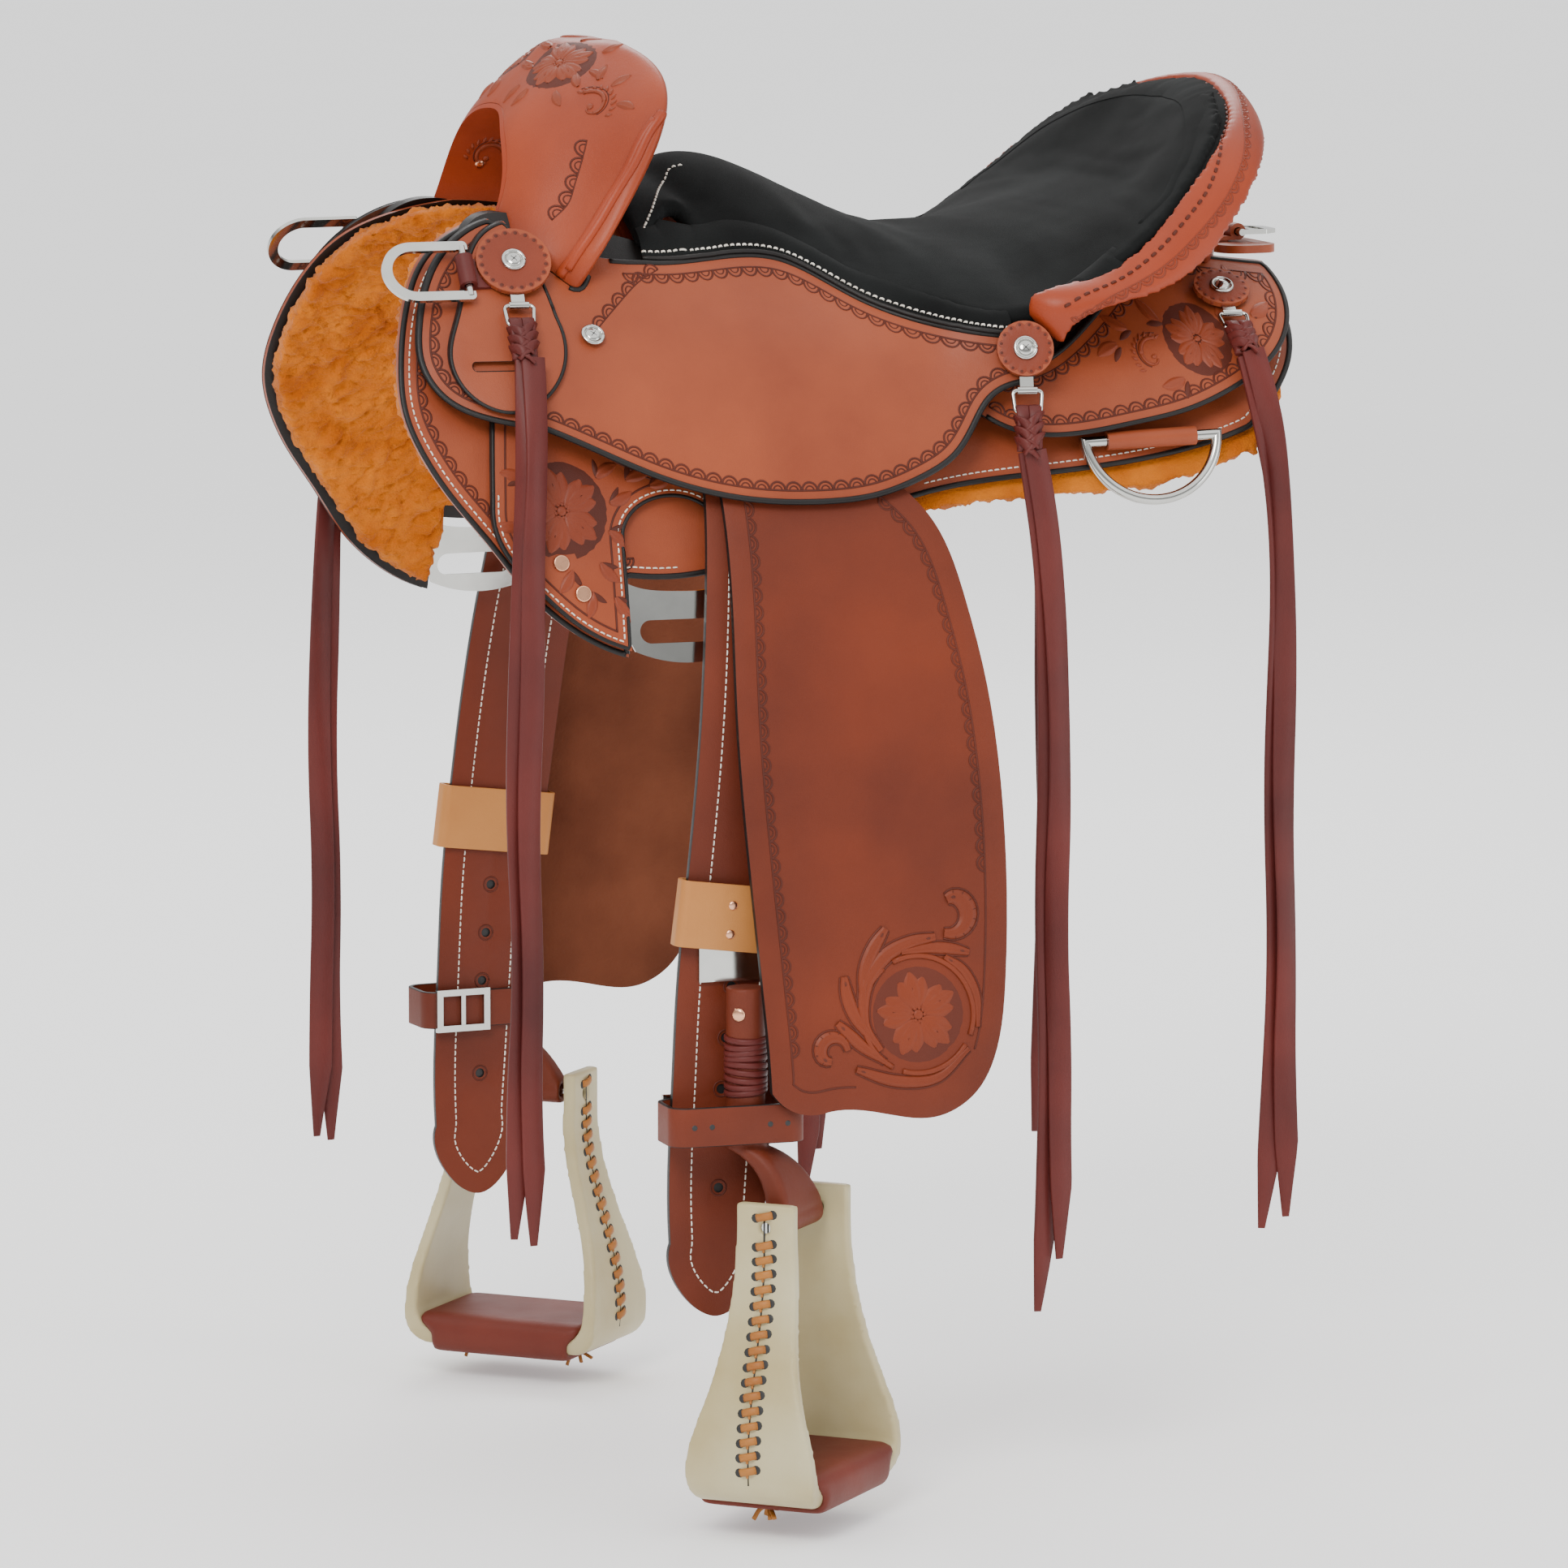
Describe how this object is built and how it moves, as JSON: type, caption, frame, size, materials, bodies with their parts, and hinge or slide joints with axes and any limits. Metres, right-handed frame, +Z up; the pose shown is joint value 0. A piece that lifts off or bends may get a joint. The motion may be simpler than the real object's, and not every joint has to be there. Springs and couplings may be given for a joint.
{
  "type": "western saddle",
  "caption": "Hornless western trail saddle with padded seat, tooled side leathers, swinging fenders, stirrups, hinged dees and hanging tie strings.",
  "frame": {"origin": "on the middle plane, inside the horse's back channel under the middle of the seat, where the saddle sits on its support", "axes": "+X towards the tail, +Y towards the rider's off (right) side, +Z up"},
  "size_m": [0.6884, 0.7022, 0.947],
  "materials": {
    "fender": "waxed",
    "stirrup_leather": "waxed",
    "leather_loop": "waxed",
    "hobble_strap": "waxed",
    "sleeve": "natural",
    "leg_buckles": "satin",
    "stirrup": "rawhide",
    "stirrup_tread": "rough",
    "stirrup_bolt": "satin",
    "front_dee": "satin",
    "rear_dee": "polished",
    "tree_bar": "sealed",
    "seat_jockey": "tooled",
    "rear_jockey": "tooled",
    "skirt": "smooth",
    "fleece": "wool pile",
    "rigging_leather": "tooled",
    "front_string": "oiled",
    "middle_string": "oiled",
    "rear_string": "oiled",
    "tree_fork": "sealed",
    "tree_cantle": "sealed",
    "ground_seat": "rough",
    "seat_pad": "suede",
    "fork_cover": "tooled",
    "gullet_lining": "smooth",
    "cantle_roll": "waxed",
    "cantle_back": "tooled",
    "rigging_plates": "satin",
    "latigo_keepers": "smooth",
    "rosettes": "smooth",
    "concho_screws": "polished",
    "string_dees": "satin",
    "hanger_bolts": "satin",
    "rigging_rivets": "copper",
    "front_dee_loops": "oiled",
    "rear_dee_straps": "stitched",
    "crupper_dee": "satin",
    "rear_tab": "stitched"
  },
  "bodies": {
    "saddle": {"near_tree_bar": "tree_bar", "off_tree_bar": "tree_bar", "near_seat_jockey": "seat_jockey", "off_seat_jockey": "seat_jockey", "near_rear_jockey": "rear_jockey", "off_rear_jockey": "rear_jockey", "near_skirt": "skirt", "off_skirt": "skirt", "near_fleece": "fleece", "off_fleece": "fleece", "near_rigging_leather": "rigging_leather", "off_rigging_leather": "rigging_leather", "near_front_string": "front_string", "off_front_string": "front_string", "near_middle_string": "middle_string", "off_middle_string": "middle_string", "near_rear_string": "rear_string", "off_rear_string": "rear_string", "tree_fork": "tree_fork", "tree_cantle": "tree_cantle", "ground_seat": "ground_seat", "seat_pad": "seat_pad", "fork_cover": "fork_cover", "gullet_lining": "gullet_lining", "cantle_roll": "cantle_roll", "cantle_back": "cantle_back", "rigging_plates": "rigging_plates", "latigo_keepers": "latigo_keepers", "rosettes": "rosettes", "concho_screws": "concho_screws", "string_dees": "string_dees", "hanger_bolts": "hanger_bolts", "rigging_rivets": "rigging_rivets", "front_dee_loops": "front_dee_loops", "rear_dee_straps": "rear_dee_straps", "rear_tab": "rear_tab"},
    "near_leg": {"near_fender": "fender", "near_stirrup_leather": "stirrup_leather", "near_leather_loop": "leather_loop", "near_leg_buckles": "leg_buckles", "near_hobble_strap": "hobble_strap"},
    "near_sleeve_ring": {"near_sleeve": "sleeve"},
    "near_stirrup_set": {"near_stirrup": "stirrup", "near_stirrup_tread": "stirrup_tread", "near_stirrup_bolt": "stirrup_bolt"},
    "near_front_dee_ring": {"near_front_dee": "front_dee"},
    "near_rear_dee_ring": {"near_rear_dee": "rear_dee"},
    "off_leg": {"off_fender": "fender", "off_stirrup_leather": "stirrup_leather", "off_leather_loop": "leather_loop", "off_leg_buckles": "leg_buckles", "off_hobble_strap": "hobble_strap"},
    "off_sleeve_ring": {"off_sleeve": "sleeve"},
    "off_stirrup_set": {"off_stirrup": "stirrup", "off_stirrup_tread": "stirrup_tread", "off_stirrup_bolt": "stirrup_bolt"},
    "off_front_dee_ring": {"off_front_dee": "front_dee"},
    "off_rear_dee_ring": {"off_rear_dee": "rear_dee"},
    "crupper_dee_plate": {"crupper_dee": "crupper_dee"}
  },
  "joints": [
    {"name": "near_leg_swing", "type": "hinge", "parent": "saddle", "child": "near_leg", "pos_m": [-0.0565, -0.1613, -0.012], "axis": [0.0453, 0.8648, -0.5], "range_deg": [-10, 8]},
    {"name": "near_sleeve_slide", "type": "slide", "parent": "near_leg", "child": "near_sleeve_ring", "axis": [0.1252, -0.0066, 0.9921], "range_m": [-0.016, 0.04]},
    {"name": "near_stirrup_tilt", "type": "hinge", "parent": "near_leg", "child": "near_stirrup_set", "pos_m": [-0.067, -0.266, -0.548], "axis": [0.7071, 0.7071, 0], "range_deg": [-20, 20]},
    {"name": "near_front_dee_swing", "type": "hinge", "parent": "saddle", "child": "near_front_dee_ring", "pos_m": [-0.243, -0.12342, 0.07], "axis": [0.0254, 0.591, 0.8062], "range_deg": [0, 60]},
    {"name": "near_rear_dee_swing", "type": "hinge", "parent": "saddle", "child": "near_rear_dee_ring", "pos_m": [0.215, -0.19725, -0.05], "axis": [-0.9937, 0.1062, -0.0361], "range_deg": [0, 60]},
    {"name": "off_leg_swing", "type": "hinge", "parent": "saddle", "child": "off_leg", "pos_m": [-0.0565, 0.1613, -0.012], "axis": [-0.0453, 0.8648, 0.5], "range_deg": [-10, 8]},
    {"name": "off_sleeve_slide", "type": "slide", "parent": "off_leg", "child": "off_sleeve_ring", "axis": [0.1252, 0.0066, 0.9921], "range_m": [-0.016, 0.04]},
    {"name": "off_stirrup_tilt", "type": "hinge", "parent": "off_leg", "child": "off_stirrup_set", "pos_m": [-0.067, 0.266, -0.548], "axis": [-0.7071, 0.7071, 0], "range_deg": [-20, 20]},
    {"name": "off_front_dee_swing", "type": "hinge", "parent": "saddle", "child": "off_front_dee_ring", "pos_m": [-0.243, 0.12342, 0.07], "axis": [-0.0254, 0.591, -0.8062], "range_deg": [0, 60]},
    {"name": "off_rear_dee_swing", "type": "hinge", "parent": "saddle", "child": "off_rear_dee_ring", "pos_m": [0.215, 0.19725, -0.05], "axis": [0.9937, 0.1062, 0.0361], "range_deg": [0, 60]},
    {"name": "crupper_dee_lift", "type": "hinge", "parent": "saddle", "child": "crupper_dee_plate", "pos_m": [0.3595, 0, 0.07], "axis": [0, -1, 0], "range_deg": [0, 90]}
  ]
}
